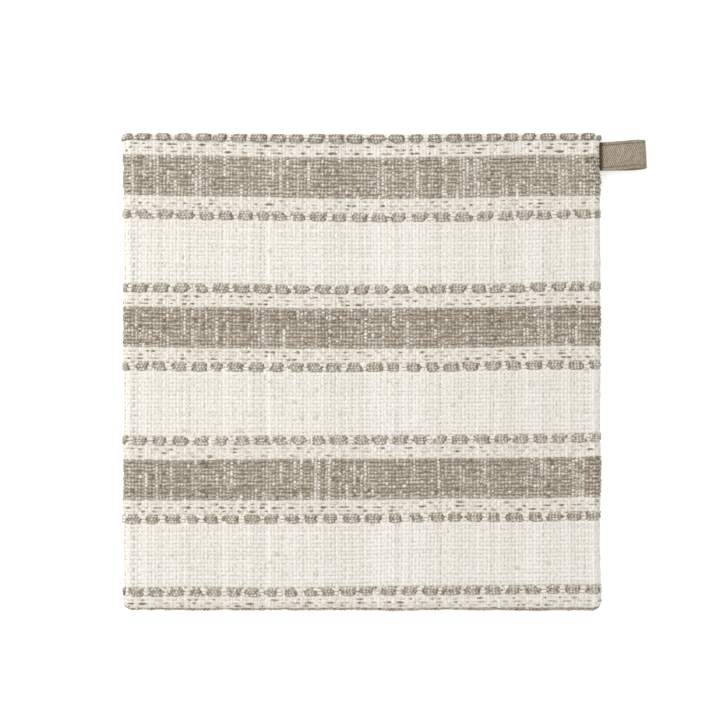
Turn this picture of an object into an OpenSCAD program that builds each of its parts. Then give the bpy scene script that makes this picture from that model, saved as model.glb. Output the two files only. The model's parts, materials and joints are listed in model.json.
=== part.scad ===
// Square woven pot holder with a hanging loop of twill tape.
// It lies on its back: +Z is the front face, +Y the edge that the loop is nearest to,
// +X the edge that the loop leaves, and the origin is the middle of the underside.

/* [Pad] */
// Side of the square pad
pad_side = 200; // [160:5:260]
// Thickness of the filled pad
pad_thick = 8; // [8:0.5:14]
// Radius of the pad's four corners in plan
corner_r = 4; // [2:0.5:8]
// Thickness of the woven cloth
cloth_t = 1.2; // [0.8:0.1:1.6]
// Width of cloth turned in past the seam
allowance_w = 9; // [6:1:12]

/* [Stripes] */
// Height of one repeat of the stripe pattern
repeat_h = 63; // [50:0.1:80]
// Height of the middle stripe above the pad's middle
stripe_y = 18.5; // [10:0.1:24]
// Distance from a stripe's middle to the float rows on each side of it
row_offset = 16.3; // [12:0.1:20]
// Height of a row of floats
row_h = 3.9; // [2.5:0.1:5]
// Distance from one float to the next along a row
float_pitch = 8.35; // [6:0.05:12]
// Length of one float on the face
float_len = 5.9; // [4:0.1:7]
// How far a float stands proud of the front face
float_rise = 0.4; // [0:0.1:0.6]

/* [Hanging loop] */
// Width of the tape
tape_w = 12; // [8:1:16]
// Thickness of the tape
tape_t = 0.9; // [0.6:0.1:1.1]
// How far the loop stands out past the pad's edge
loop_reach = 19.2; // [17:0.1:30]
// Clear gap between the loop's two legs at its widest
loop_gap = 5.2; // [4.6:0.1:6]
// Height of the loop's middle above the pad's middle
loop_y = 90.2; // [-85:0.1:90.5]
// How far the loop leans towards the near edge, in degrees
loop_lean = 3; // [0:0.5:3]

/* [Sewing] */
// Length of one lockstitch
stitch_len = 3; // [2.5:0.5:4]
// Thickness of the sewing thread
thread_t = 0.4; // [0.3:0.05:0.5]
// Length of the gap the pad is turned through, closed by hand
turning_gap = 60; // [40:5:90]

/* [Hidden] */
$fn = 64;
eps = 0.02;
half = pad_side / 2;
mid_z = pad_thick / 2;
edge_r = pad_thick / 2;
flat_half = half - edge_r;
allowance_t = cloth_t - 0.1;
allowance_in = half - allowance_w;
groove_d = 0.7;
dip_depth = 0.35;
ramp_len = 0.5;
strand_gap = 0.1;
channel_half = flat_half - 1;
floats = floor(2 * channel_half / float_pitch);
big = 2 * pad_side;

// The rows of floats lie row_offset above and below the middle of each stripe.
// The lowest row belongs to the stripe that starts at the bottom edge.
row_ys = [
    stripe_y + repeat_h + row_offset,
    stripe_y + repeat_h - row_offset,
    stripe_y + row_offset,
    stripe_y - row_offset,
    stripe_y - repeat_h + row_offset,
    stripe_y - repeat_h - row_offset,
    stripe_y - 2 * repeat_h + row_offset
];

// The loop bends at a line just outside the pad's edge, and its legs part from there.
flex_x = half + 2;
flex_clear = 0.2 + tape_w / 2 * sin(loop_lean);
tail_end_x = flex_x - tape_t - flex_clear;
tail_start_x = allowance_in + 1.5;
part_x = flex_x + 1;
loop_end_x = half + loop_reach;
bow_x = loop_end_x - tape_t - loop_gap / 2;
open_x = bow_x - 5.8;
tack_at = half - 3.5;
seam_at = half - 2;
taper_steps = 14;
arc_steps = 24;
tape_cover_w = tape_w + 2 * cloth_t;

// Turns a front half into the matching back half
module turn_over() {
    translate([0, 0, mid_z]) mirror([0, 0, 1]) translate([0, 0, -mid_z]) children();
}

// Section of the pad: a slab with half-round ends
module slab_section(inset) {
    r = edge_r - inset;
    square([2 * flat_half, 2 * r], center = true);
    for (side = [-1, 1]) translate([side * flat_half, 0]) circle(r);
}

// Outline of the pad in plan
module plan(inset) {
    s = half - inset;
    c = corner_r - inset / 2;
    square([2 * (s - c), 2 * s], center = true);
    square([2 * s, 2 * (s - c)], center = true);
    for (sx = [-1, 1], sy = [-1, 1]) translate([sx * (s - c), sy * (s - c)]) circle(c);
}

// The filled pad, pulled in evenly by inset
module pillow(inset) {
    intersection() {
        translate([0, 0, mid_z]) rotate([90, 0, 0])
            linear_extrude(height = big, center = true) slab_section(inset);
        translate([0, 0, mid_z]) rotate([90, 0, 90])
            linear_extrude(height = big, center = true) slab_section(inset);
        linear_extrude(height = pad_thick) plan(inset);
    }
}

// Everything above the seam line
module above_seam() {
    translate([-half - 1, -half - 1, mid_z]) cube([pad_side + 2, pad_side + 2, pad_thick]);
}

// Cloth turned in along the seam, lifted where it passes over the tape
module turned_in_edge() {
    intersection() {
        pillow(cloth_t / 2);
        difference() {
            translate([-half, -half, mid_z]) cube([pad_side, pad_side, allowance_t]);
            translate([-allowance_in, -allowance_in, mid_z - 1])
                cube([2 * allowance_in, 2 * allowance_in, allowance_t + 2]);
        }
    }
    translate([allowance_in, loop_y - tape_cover_w / 2, mid_z])
        cube([allowance_w - 0.8 * cloth_t, tape_cover_w, tape_t + allowance_t]);
}

// Space that the two tape tails take up between the covers
module tail_space() {
    translate([tail_start_x, loop_y - tape_w / 2, mid_z - tape_t])
        cube([tail_end_x - tail_start_x, tape_w, 2 * tape_t]);
}

// How far row y leans over on the rounded edge, in degrees
function lean(y) = abs(y) <= flat_half ? 0 : asin((abs(y) - flat_half) / edge_r) * sign(y);

// Puts its children on the front face at height y, with their Z along the face's normal
module on_face(y) {
    translate([0, y, mid_z + edge_r * cos(lean(y))]) rotate([-lean(y), 0, 0]) children();
}

// Channels in the face that the floating yarns lie in
module float_channels() {
    for (y = row_ys) on_face(y)
        translate([-channel_half, -row_h / 2, -groove_d])
            cube([2 * channel_half, row_h, 2 * groove_d]);
}

// One strand of floating yarn from the side: up on the face, down under the ties, and so on
function float_top(x0, rise) = [
    [x0 - float_len / 2 - ramp_len / 2, -dip_depth],
    [x0 - float_len / 2 + ramp_len / 2, rise],
    [x0 + float_len / 2 - ramp_len / 2, rise],
    [x0 + float_len / 2 + ramp_len / 2, -dip_depth]
];
module strand(rise) {
    first_x = -(floats - 1) / 2 * float_pitch;
    end_x = channel_half - eps;
    top = [for (i = [0 : floats - 1]) each float_top(first_x + i * float_pitch, rise)];
    outline = concat(
        [[-end_x, -groove_d + eps], [-end_x, -dip_depth]],
        top,
        [[end_x, -dip_depth], [end_x, -groove_d + eps]]
    );
    strand_w = (row_h - 3 * strand_gap) / 2;
    rotate([90, 0, 0]) linear_extrude(height = strand_w, center = true) polygon(outline);
}

// Two strands laid side by side in the channel of row y
module float_yarn(y, rise) {
    on_face(y) for (side = [-1, 1]) translate([0, side * row_h / 4, 0]) strand(rise);
}

// One cover: a skin over the wadding, with its edge turned in at the seam
module cover() {
    difference() {
        union() {
            intersection() {
                difference() {
                    pillow(0);
                    pillow(cloth_t);
                }
                above_seam();
            }
            turned_in_edge();
        }
        tail_space();
        float_channels();
    }
}

// One layer of wadding, which fills its half of the pad
module wadding() {
    difference() {
        intersection() {
            pillow(cloth_t + eps);
            above_seam();
        }
        turned_in_edge();
        tail_space();
    }
}

module front_cover() { color([0.92, 0.90, 0.86]) cover(); }
module back_cover() { color([0.92, 0.90, 0.86]) turn_over() cover(); }
module front_wadding() { color([0.96, 0.96, 0.94]) wadding(); }
module back_wadding() { color([0.96, 0.96, 0.94]) turn_over() wadding(); }

// The two ends of the tape, one on the other in the seam
module loop_tails() {
    color([0.64, 0.60, 0.53])
    for (level = [0, 1])
        translate([tail_start_x, loop_y - tape_w / 2, mid_z - level * tape_t + 0.5 * eps])
            cube([tail_end_x - tail_start_x, tape_w, tape_t - eps]);
}

// Half the gap between the legs, from 0 where they part to loop_gap / 2 where it is widest
function leg_gap(t) = loop_gap / 2 * t * t * (3 - 2 * t);

// Points along a round stretch about (x, 0)
function arc(x, r, from, to) = [for (i = [0 : arc_steps]) let (a = from + (to - from) * i / arc_steps)
    [x + r * cos(a), r * sin(a)]];

// The loop from the side, pulled out by thick from the space that it encloses
function loop_outline(thick) = let (
    upper = [for (i = [1 : taper_steps]) let (t = i / taper_steps)
        [part_x + t * (open_x - part_x), leg_gap(t) + thick]],
    lower = [for (i = [taper_steps - 1 : -1 : 0]) [upper[i][0], -upper[i][1]]]
) concat(upper, arc(bow_x, loop_gap / 2 + thick, 90, -90), lower);

// The free part of the tape: two legs that part from the bend line and close in a round bow
module hanging_loop() {
    color([0.64, 0.60, 0.53])
    translate([flex_x, loop_y, mid_z]) rotate([90, 0, loop_lean])
    linear_extrude(height = tape_w, center = true)
    translate([-flex_x, 0]) difference() {
        polygon(concat(loop_outline(tape_t), arc(flex_x, tape_t, 270, 90)));
        polygon(concat([[part_x, 0]], loop_outline(0)));
    }
}

// A sewing thread along X, seen from the side as a square wave that crosses the cloth once a stitch
module stitch_row(length, pitch, reach) {
    count = floor(length / pitch);
    t = thread_t / 2;
    left = [for (i = [0 : count]) let (x = (i - count / 2) * pitch, s = i % 2 == 0 ? 1 : -1)
        each [[x - s * t, t - s * reach], [x - s * t, s * reach + t]]];
    right = [for (i = [count : -1 : 0]) let (x = (i - count / 2) * pitch, s = i % 2 == 0 ? 1 : -1)
        each [[x + s * t, s * reach - t], [x + s * t, -s * reach - t]]];
    rotate([90, 0, 0]) linear_extrude(height = thread_t, center = true) polygon(concat(left, right));
}

module edge_seam_thread() {
    color([0.90, 0.88, 0.83])
    for (turn = [0 : 3]) translate([0, 0, mid_z]) rotate([0, 0, 90 * turn])
        translate([0, -seam_at, 0]) stitch_row(2 * (seam_at - corner_r), stitch_len, allowance_t);
}

module loop_tack_thread() {
    color([0.90, 0.88, 0.83])
    translate([tack_at, loop_y, mid_z]) rotate([0, 0, 90])
        stitch_row(tape_w - 2 * thread_t, stitch_len / 2, tape_t + allowance_t);
}

module closing_thread() {
    color([0.90, 0.88, 0.83])
    translate([0, -half + thread_t, mid_z]) stitch_row(turning_gap, 2 * stitch_len, cloth_t);
}

module front_float_yarn(i) { color([0.66, 0.62, 0.55]) float_yarn(row_ys[i], float_rise); }
module back_float_yarn(i) { color([0.66, 0.62, 0.55]) turn_over() float_yarn(row_ys[i], 0); }

front_cover();
back_cover();
front_wadding();
back_wadding();
loop_tails();
hanging_loop();
edge_seam_thread();
loop_tack_thread();
closing_thread();
front_float_yarn(0);  // front_float_yarn_1
front_float_yarn(1);  // front_float_yarn_2
front_float_yarn(2);  // front_float_yarn_3
front_float_yarn(3);  // front_float_yarn_4
front_float_yarn(4);  // front_float_yarn_5
front_float_yarn(5);  // front_float_yarn_6
front_float_yarn(6);  // front_float_yarn_7
back_float_yarn(0);  // back_float_yarn_1
back_float_yarn(1);  // back_float_yarn_2
back_float_yarn(2);  // back_float_yarn_3
back_float_yarn(3);  // back_float_yarn_4
back_float_yarn(4);  // back_float_yarn_5
back_float_yarn(5);  // back_float_yarn_6
back_float_yarn(6);  // back_float_yarn_7
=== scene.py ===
# %% [markdown]
# # A woven pot holder, yarn by yarn
# A pot holder is two squares of chunky cloth with soft wadding between them, and a loop of tape to
# hang it by. The cloth is what the eye sees, so this script weaves it. Python writes the weaving
# draft, which says where each yarn passes over and under, and Geometry Nodes spin every line of
# the draft into a yarn and lay it over the filled pad. A picture of cloth on a flat square would
# be lighter, but its edges would be smooth and its close-ups blank.

# %% Load the frame
import json
import math

import bpy
import numpy as np
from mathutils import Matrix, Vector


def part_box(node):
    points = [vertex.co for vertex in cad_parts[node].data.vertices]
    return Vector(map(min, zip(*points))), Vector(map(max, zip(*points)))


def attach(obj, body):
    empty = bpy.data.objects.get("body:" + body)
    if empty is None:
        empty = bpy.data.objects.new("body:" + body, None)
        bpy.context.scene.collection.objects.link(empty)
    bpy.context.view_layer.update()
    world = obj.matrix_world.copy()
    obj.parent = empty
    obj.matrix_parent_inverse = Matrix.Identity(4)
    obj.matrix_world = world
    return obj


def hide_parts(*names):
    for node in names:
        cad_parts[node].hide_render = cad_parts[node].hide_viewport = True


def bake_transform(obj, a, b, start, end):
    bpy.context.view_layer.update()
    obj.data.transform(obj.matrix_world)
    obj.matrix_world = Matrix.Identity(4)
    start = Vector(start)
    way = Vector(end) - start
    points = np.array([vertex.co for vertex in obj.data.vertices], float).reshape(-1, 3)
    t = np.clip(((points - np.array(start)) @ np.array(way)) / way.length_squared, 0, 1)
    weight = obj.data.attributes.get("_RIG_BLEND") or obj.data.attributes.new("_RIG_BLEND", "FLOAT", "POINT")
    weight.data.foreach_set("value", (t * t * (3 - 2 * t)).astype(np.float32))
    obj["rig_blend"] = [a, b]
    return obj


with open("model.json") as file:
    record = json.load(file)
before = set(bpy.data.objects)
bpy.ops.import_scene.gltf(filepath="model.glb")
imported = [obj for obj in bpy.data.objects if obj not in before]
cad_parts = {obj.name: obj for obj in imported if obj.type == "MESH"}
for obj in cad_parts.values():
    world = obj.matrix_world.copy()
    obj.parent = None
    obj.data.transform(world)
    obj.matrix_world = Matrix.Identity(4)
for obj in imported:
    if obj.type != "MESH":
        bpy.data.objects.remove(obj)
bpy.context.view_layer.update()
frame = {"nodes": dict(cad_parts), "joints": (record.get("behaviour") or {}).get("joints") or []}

# %% [markdown]
# ## Sizes that everything follows
# The pad's own solids give its size, so nothing is measured twice. Cloth is easiest to think of
# laid out flat, so each face has flat coordinates, x along the stripes and y across them. They
# reach from the middle of the face, over the round edge, to the seam.

# %% Sizes of the pad
MM = 0.001
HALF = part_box("front_cover")[1].x
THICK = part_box("front_cover")[1].z
MID_Z = THICK / 2
EDGE_R = MID_Z
FLAT = HALF - EDGE_R
CLOTH_HALF = FLAT + EDGE_R * math.pi / 2
print(f"pad {2 * HALF / MM:.0f} mm wide, {THICK / MM:.1f} mm thick, cloth {2 * CLOTH_HALF / MM:.1f} mm")


def row_middle(number):
    """Height of a row of floating yarns above the pad's middle."""
    low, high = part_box(f"front_float_yarn_{number}")
    return (low.y + high.y) / 2


REPEAT = row_middle(2) - row_middle(4)
STRIPE_Y = (row_middle(3) + row_middle(4)) / 2
ROW_OFFSET = (row_middle(3) - row_middle(4)) / 2
STRIPE_HALF = 8.45 * MM
ROW_HALF = 1.8 * MM
WARP_PITCH = 1.47 * MM
print(f"stripes repeat every {REPEAT / MM:.1f} mm, dashes {ROW_OFFSET / MM:.1f} mm from their middles")

# %% Sizes of the tape
TAIL_LOW, TAIL_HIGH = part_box("loop_tails")
LOOP_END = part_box("hanging_loop")[1].x
FLEX_X = frame["joints"][0]["pos_m"][0]
LOOP_Y = (TAIL_LOW.y + TAIL_HIGH.y) / 2
TAPE_W = TAIL_HIGH.y - TAIL_LOW.y
TAPE_T = (TAIL_HIGH.z - TAIL_LOW.z) / 2
LEAN = math.radians(3)
print(f"tape {TAPE_W / MM:.0f} mm wide and {TAPE_T / MM:.1f} mm thick, bends at x {FLEX_X / MM:.0f} mm")

# %% [markdown]
# ## Small helpers for node trees
# Node groups and materials are built from the same two moves: add a node, and feed its sockets
# with values or with what another node puts out. Both could be written out each time, but one
# helper that does both keeps every tree readable as a list of steps.

# %% Helpers for nodes and arithmetic


def place(tree, kind, feeds=None, **settings):
    """Adds a node, sets its options, and feeds its inputs with values or other nodes' outputs."""
    node = tree.nodes.new(kind)
    for option, value in settings.items():
        setattr(node, option, value)
    for key, value in (feeds or {}).items():
        if isinstance(value, bpy.types.NodeSocket):
            tree.links.new(value, node.inputs[key])
        else:
            node.inputs[key].default_value = value
    return node


def calc(tree, operation, *values):
    """One step of arithmetic on numbers."""
    return place(tree, "ShaderNodeMath", dict(enumerate(values)), operation=operation).outputs[0]


def calc_vector(tree, operation, *values):
    """One step of arithmetic on vectors."""
    return place(tree, "ShaderNodeVectorMath", dict(enumerate(values)), operation=operation).outputs[0]


def scaled(tree, direction, length):
    """A vector made longer or shorter."""
    feeds = {0: direction, "Scale": length}
    return place(tree, "ShaderNodeVectorMath", feeds, operation="SCALE").outputs[0]


def vector(tree, x=0.0, y=0.0, z=0.0):
    """A vector from three numbers."""
    return place(tree, "ShaderNodeCombineXYZ", {"X": x, "Y": y, "Z": z}).outputs[0]


def parts(tree, value):
    """The three numbers of a vector, by the names X, Y and Z."""
    return place(tree, "ShaderNodeSeparateXYZ", {"Vector": value}).outputs


def noise(tree, where, scale, detail=1.0, w=None):
    """Smooth noise: its value first, then three values as a colour."""
    feeds = {"Vector": where, "Scale": scale, "Detail": detail}
    if w is None:
        return place(tree, "ShaderNodeTexNoise", feeds).outputs
    return place(tree, "ShaderNodeTexNoise", {**feeds, "W": w}, noise_dimensions="4D").outputs


print("helpers for nodes are ready")

# %% Helpers for groups and attributes


def new_group(name, kind, inputs, outputs):
    """A node group with named sockets, and what its input node puts out."""
    tree = bpy.data.node_groups.new(name, kind)
    for direction, sockets in (("INPUT", inputs), ("OUTPUT", outputs)):
        for socket, sort in sockets.items():
            tree.interface.new_socket(socket, in_out=direction, socket_type="NodeSocket" + sort)
    return tree, tree.nodes.new("NodeGroupInput").outputs


def named(tree, name, data_type="FLOAT"):
    """Reads an attribute stored on each point."""
    node = place(tree, "GeometryNodeInputNamedAttribute", {"Name": name}, data_type=data_type)
    return node.outputs[0]


def store(tree, geometry, name, value, data_type="FLOAT"):
    """Stores a value on each point, for later nodes and for materials."""
    feeds = {"Geometry": geometry, "Name": name, "Value": value}
    return place(tree, "GeometryNodeStoreNamedAttribute", feeds, data_type=data_type).outputs[0]


def finish_tree(tree, geometry, material):
    """The last steps of every geometry tree: smooth, realize, set the material, and put out."""
    geometry = place(tree, "GeometryNodeSetShadeSmooth", {"Geometry": geometry}).outputs[0]
    geometry = place(tree, "GeometryNodeRealizeInstances", {"Geometry": geometry}).outputs[0]
    feeds = {"Geometry": geometry, "Material": material}
    geometry = place(tree, "GeometryNodeSetMaterial", feeds).outputs[0]
    place(tree, "NodeGroupOutput", {"Geometry": geometry})


print("helpers for groups are ready")

# %% [markdown]
# ## The pad's surface as a rule
# The filled pad is a flat face that rolls over a round edge, with a round corner where two edges
# meet. It could be modelled, and the yarns shrink-wrapped onto it, but a rule is exact and fast:
# the part of x or y beyond the flat face becomes an angle round the edge. Shortening each sine by
# the other one turns the square corner into a quarter of a ball.

# %% Node group: from flat cloth to filled pad


def make_pad_surface():
    """Turns flat x, flat y and height over the pad into a place in space, and the way outwards."""
    inputs = {"Flat": "Vector", "Side": "Float"}
    outputs = {"Position": "Vector", "Outward": "Vector"}
    tree, given = new_group("pad_surface", "GeometryNodeTree", inputs, outputs)
    flat = parts(tree, given["Flat"])
    middle, sine, cosine = {}, {}, {}
    for axis in "XY":
        middle[axis] = calc(tree, "MINIMUM", calc(tree, "MAXIMUM", flat[axis], -FLAT), FLAT)
        angle = calc(tree, "DIVIDE", calc(tree, "SUBTRACT", flat[axis], middle[axis]), EDGE_R)
        sine[axis] = calc(tree, "SINE", angle)
        cosine[axis] = calc(tree, "COSINE", angle)
    way = []
    for axis, other in ("XY", "YX"):
        shorter = calc(tree, "MULTIPLY", calc(tree, "MULTIPLY", sine[other], sine[other]), -0.5)
        share = calc(tree, "SQRT", calc(tree, "ADD", shorter, 1.0))
        way.append(calc(tree, "MULTIPLY", sine[axis], share))
    up = calc(tree, "MULTIPLY", calc(tree, "MULTIPLY", cosine["X"], cosine["Y"]), given["Side"])
    outward = vector(tree, way[0], way[1], up)
    arm = scaled(tree, outward, calc(tree, "ADD", flat["Z"], EDGE_R))
    position = calc_vector(tree, "ADD", vector(tree, middle["X"], middle["Y"], MID_Z), arm)
    place(tree, "NodeGroupOutput", {"Position": position, "Outward": outward})
    return tree


PAD_SURFACE = make_pad_surface()
print("group pad_surface with", len(PAD_SURFACE.nodes), "nodes")

# %% [markdown]
# ## Cloth is never quite straight
# Chunky cloth pulled over soft wadding drifts a little: the rows bow up towards the sides, wander,
# and the face has shallow dimples. All the layers have to drift together, or the yarns would come
# apart, so one group moves flat coordinates, and every tree that lays something on the pad uses it.

# %% Node group: slow drift of the cloth
DRIFT = (1.3 * MM, 1.7 * MM, 0.4 * MM)
DRIFT_MIDDLE = (0.5, 0.72, 0.5)
DRIFT_SCALE = 20.0
BOW_SIDES = 0.92 * MM
BOW_TILT = 0.47 * MM
BOW_MIDDLE = 0.2 * MM
RIM_WAVE = 1.3 * MM
RIM_SCALE = 38.0
RIM_STARTS = FLAT - 2 * MM
CROWN = 0.3 * MM


def make_cloth_drift():
    """Bows the rows, drifts them by a slow noise, domes the face and makes the rim uneven."""
    inputs = {"Flat": "Vector", "Side": "Float"}
    tree, given = new_group("cloth_drift", "GeometryNodeTree", inputs, {"Flat": "Vector"})
    slow = noise(tree, given["Flat"], DRIFT_SCALE, w=given["Side"])["Color"]
    shift = calc_vector(tree, "MULTIPLY", calc_vector(tree, "SUBTRACT", slow, DRIFT_MIDDLE), DRIFT)
    flat = parts(tree, given["Flat"])
    u = calc(tree, "DIVIDE", flat["X"], CLOTH_HALF)
    v = calc(tree, "DIVIDE", flat["Y"], CLOTH_HALF)

    sides = calc(tree, "MULTIPLY", calc(tree, "MULTIPLY", u, u), calc(tree, "ADD", 1.0, v))
    tilt = calc(tree, "MULTIPLY", u, calc(tree, "SUBTRACT", 1.0, v))
    bow = calc(tree, "MULTIPLY_ADD", sides, BOW_SIDES, -BOW_MIDDLE)
    bow = calc(tree, "MULTIPLY_ADD", tilt, BOW_TILT, bow)
    feeds = {"Value": calc(tree, "ABSOLUTE", flat["Y"]), "From Min": FLAT, "From Max": CLOTH_HALF}
    feeds.update({"To Min": 1.0, "To Max": 0.0})
    bow = calc(tree, "MULTIPLY", bow, place(tree, "ShaderNodeMapRange", feeds).outputs[0])

    dome = CROWN
    for share in (u, v):
        fall = calc(tree, "SUBTRACT", 1.0, calc(tree, "MULTIPLY", share, share))
        dome = calc(tree, "MULTIPLY", dome, fall)
    beside, above = [calc(tree, "ABSOLUTE", flat[axis]) for axis in "XY"]
    furthest = calc(tree, "MAXIMUM", beside, above)
    feeds = {"Value": furthest, "From Min": RIM_STARTS, "From Max": CLOTH_HALF}
    near_rim = place(tree, "ShaderNodeMapRange", feeds).outputs[0]
    uneven = calc(tree, "SUBTRACT", noise(tree, given["Flat"], RIM_SCALE)[0], 0.1)
    rim = calc(tree, "MULTIPLY", calc(tree, "MULTIPLY", uneven, RIM_WAVE), near_rim)
    lift = vector(tree, y=bow, z=calc(tree, "ADD", dome, rim))
    moved = calc_vector(tree, "ADD", given["Flat"], calc_vector(tree, "ADD", shift, lift))
    place(tree, "NodeGroupOutput", {"Flat": moved})
    return tree


CLOTH_DRIFT = make_cloth_drift()


def lay_on_pad(tree, flat, side):
    """Drifts flat coordinates and lays them on the pad: a place in space, and the way outwards."""
    for group in (CLOTH_DRIFT, PAD_SURFACE):
        node = place(tree, "GeometryNodeGroup", {"Flat": flat, "Side": side}, node_tree=group)
        flat = node.outputs[0]
    return node.outputs["Position"], node.outputs["Outward"]


print("group cloth_drift with", len(CLOTH_DRIFT.nodes), "nodes")

# %% [markdown]
# ## Spinning a yarn along a line of the draft
# The draft is a mesh of loose chains, one for each yarn, with a point where it crosses another.
# Each point says whether the yarn is up (1) or down (-1) there. Straight blends between the points
# would give a zigzag, so the tree takes the sine of the blend, which bends the yarn softly over
# each crossing. Thick yarns of several plies are knobbly, so their girth swells and narrows once
# every turn of the twist, and their tone is painted lighter on each swell and darker in each
# narrowing, as light and shade. Last, a small flattened ring is swept along each line.

# %% Node tree: spin the yarns
WANDER_SCALE = 170.0
SLUB_SCALE = 120.0
YARN_SEED_STEP = 41.0
SLUB_SHIFTS_KNOBS = 4.0


def make_spin_yarn():
    """Sweeps every chain of the draft into a closed yarn that lies on the pad."""
    numbers = ("Half width", "Half height", "Wave", "Depth", "Wander", "Slub", "Knob", "Knob length")
    inputs = {"Geometry": "Geometry", "Side": "Float", **{name: "Float" for name in numbers}}
    inputs.update({"Corners": "Int", "Cuts": "Int", "Material": "Material"})
    tree, given = new_group("spin_yarn", "GeometryNodeTree", inputs, {"Geometry": "Geometry"})
    curve = place(tree, "GeometryNodeMeshToCurve", {"Mesh": given["Geometry"]}).outputs[0]
    feeds = {"Curve": curve, "Cuts": given["Cuts"]}
    curve = place(tree, "GeometryNodeSubdivideCurve", feeds).outputs[0]

    here = tree.nodes.new("GeometryNodeInputPosition").outputs[0]
    along = tree.nodes.new("GeometryNodeSplineParameter").outputs["Length"]
    bend = calc(tree, "SINE", calc(tree, "MULTIPLY", named(tree, "rise"), math.pi / 2))
    height = calc(tree, "MULTIPLY", bend, given["Wave"])
    height = calc(tree, "ADD", calc(tree, "ADD", height, named(tree, "level")), given["Depth"])
    flat = calc_vector(tree, "ADD", here, vector(tree, z=height))

    yarn_seed = calc(tree, "MULTIPLY", named(tree, "yarn"), YARN_SEED_STEP)
    wobble = noise(tree, here, WANDER_SCALE, w=yarn_seed)["Color"]
    wobble = scaled(tree, calc_vector(tree, "SUBTRACT", wobble, (0.5, 0.5, 0.5)), given["Wander"])
    flat = calc_vector(tree, "ADD", flat, wobble)
    slub = noise(tree, here, SLUB_SCALE, 2.0, w=yarn_seed)[0]
    swell = calc(tree, "MULTIPLY", calc(tree, "SUBTRACT", slub, 0.5), given["Slub"])
    turn = calc(tree, "MULTIPLY", calc(tree, "DIVIDE", along, given["Knob length"]), 2 * math.pi)
    turn = calc(tree, "ADD", turn, calc(tree, "MULTIPLY", slub, SLUB_SHIFTS_KNOBS))
    knob = calc(tree, "MULTIPLY", calc(tree, "SINE", calc(tree, "ADD", turn, yarn_seed)), given["Knob"])
    fuller = calc(tree, "ADD", calc(tree, "ADD", swell, knob), 1.0)
    girth = calc(tree, "MULTIPLY", named(tree, "girth"), fuller)

    position, outward = lay_on_pad(tree, flat, given["Side"])
    curve = store(tree, curve, "along", along)
    curve = store(tree, curve, "swollen", girth)
    # painted light and shade: the tone rises with each knob and falls in each narrowing
    curve = store(tree, curve, "shade", calc(tree, "ADD", named(tree, "shade"), knob))
    curve = store(tree, curve, "outward", outward, "FLOAT_VECTOR")
    feeds = {"Geometry": curve, "Position": position}
    curve = place(tree, "GeometryNodeSetPosition", feeds).outputs[0]
    feeds = {"Curve": curve, "Normal": named(tree, "outward", "FLOAT_VECTOR")}
    curve = place(tree, "GeometryNodeSetCurveNormal", feeds, mode="FREE").outputs[0]

    feeds = {"Resolution": given["Corners"], "Radius": 1.0}
    ring = place(tree, "GeometryNodeCurvePrimitiveCircle", feeds, mode="RADIUS").outputs[0]
    corner = tree.nodes.new("GeometryNodeInputPosition").outputs[0]
    ring = store(tree, ring, "ring", corner, "FLOAT_VECTOR")
    flatten = vector(tree, given["Half height"], given["Half width"], 1.0)
    ring = place(tree, "GeometryNodeTransform", {"Geometry": ring, "Scale": flatten}).outputs[0]
    feeds = {"Curve": curve, "Profile Curve": ring, "Scale": named(tree, "swollen"), "Fill Caps": True}
    yarn = place(tree, "GeometryNodeCurveToMesh", feeds).outputs[0]
    round_it = parts(tree, named(tree, "ring", "FLOAT_VECTOR"))
    run = vector(tree, named(tree, "along"), round_it["X"], round_it["Y"])
    yarn = store(tree, yarn, "yarn_run", run, "FLOAT_VECTOR")
    finish_tree(tree, yarn, given["Material"])
    return tree


SPIN_YARN = make_spin_yarn()
print("tree spin_yarn with", len(SPIN_YARN.nodes), "nodes")

# %% [markdown]
# ## From a tree to a plain mesh
# A tree's result lasts only as long as its modifier. Applying the modifier by hand would do, but
# asking Blender for a new mesh from the evaluated object gives the same in one line, without
# selecting anything. The attributes that no material reads are dropped on the way.

# %% Run a tree and keep its result


def new_object(name, data):
    """An object in the scene, at the origin, and its mesh by the same name."""
    if isinstance(data, bpy.types.Mesh):
        data.name = name
    made = bpy.data.objects.new(name, data)
    bpy.context.scene.collection.objects.link(made)
    return made


def run_tree(piece, tree, values, kept):
    """Runs a tree on a piece, and returns the result as a plain mesh object of the same name."""
    name = piece.name
    modifier = piece.modifiers.new(tree.name, "NODES")
    modifier.node_group = tree
    for socket in tree.interface.items_tree:
        if socket.in_out == "INPUT" and socket.name in values:
            modifier[socket.identifier] = values[socket.name]
    bpy.context.view_layer.update()
    spun = piece.evaluated_get(bpy.context.evaluated_depsgraph_get())
    mesh = bpy.data.meshes.new_from_object(spun)
    for leftover in {attribute.name for attribute in mesh.attributes} - set(kept):
        attribute = mesh.attributes[leftover]
        if not (attribute.is_required or attribute.is_internal or attribute.domain != "POINT"):
            mesh.attributes.remove(attribute)
    draft_mesh = piece.data
    bpy.data.objects.remove(piece)
    bpy.data.meshes.remove(draft_mesh)
    return new_object(name, mesh)


print("pieces can be made")

# %% [markdown]
# ## Colours of the yarns
# Spun yarn isn't one flat colour. Its twist leaves grooves, painted darker as shade, fibres of
# several shades lie along it as short streaks, and each length from the bobbin is a little lighter
# or darker. One group works this out from the yarn's own run, which is how far along and how far
# round, so that the pattern follows every bend. Each kind of yarn then uses it with its own
# strengths and colours.

# %% Shader group: twist, streaks and fibres of a yarn
STREAK_SCALE = 520.0
STREAKS_ROUND = 1.4
STREAK_SEED_STEP = 37.0
FIBRE_SCALE = 5200.0
FIBRE_TONE = 0.35
TWIST_RELIEF = 0.3


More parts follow.
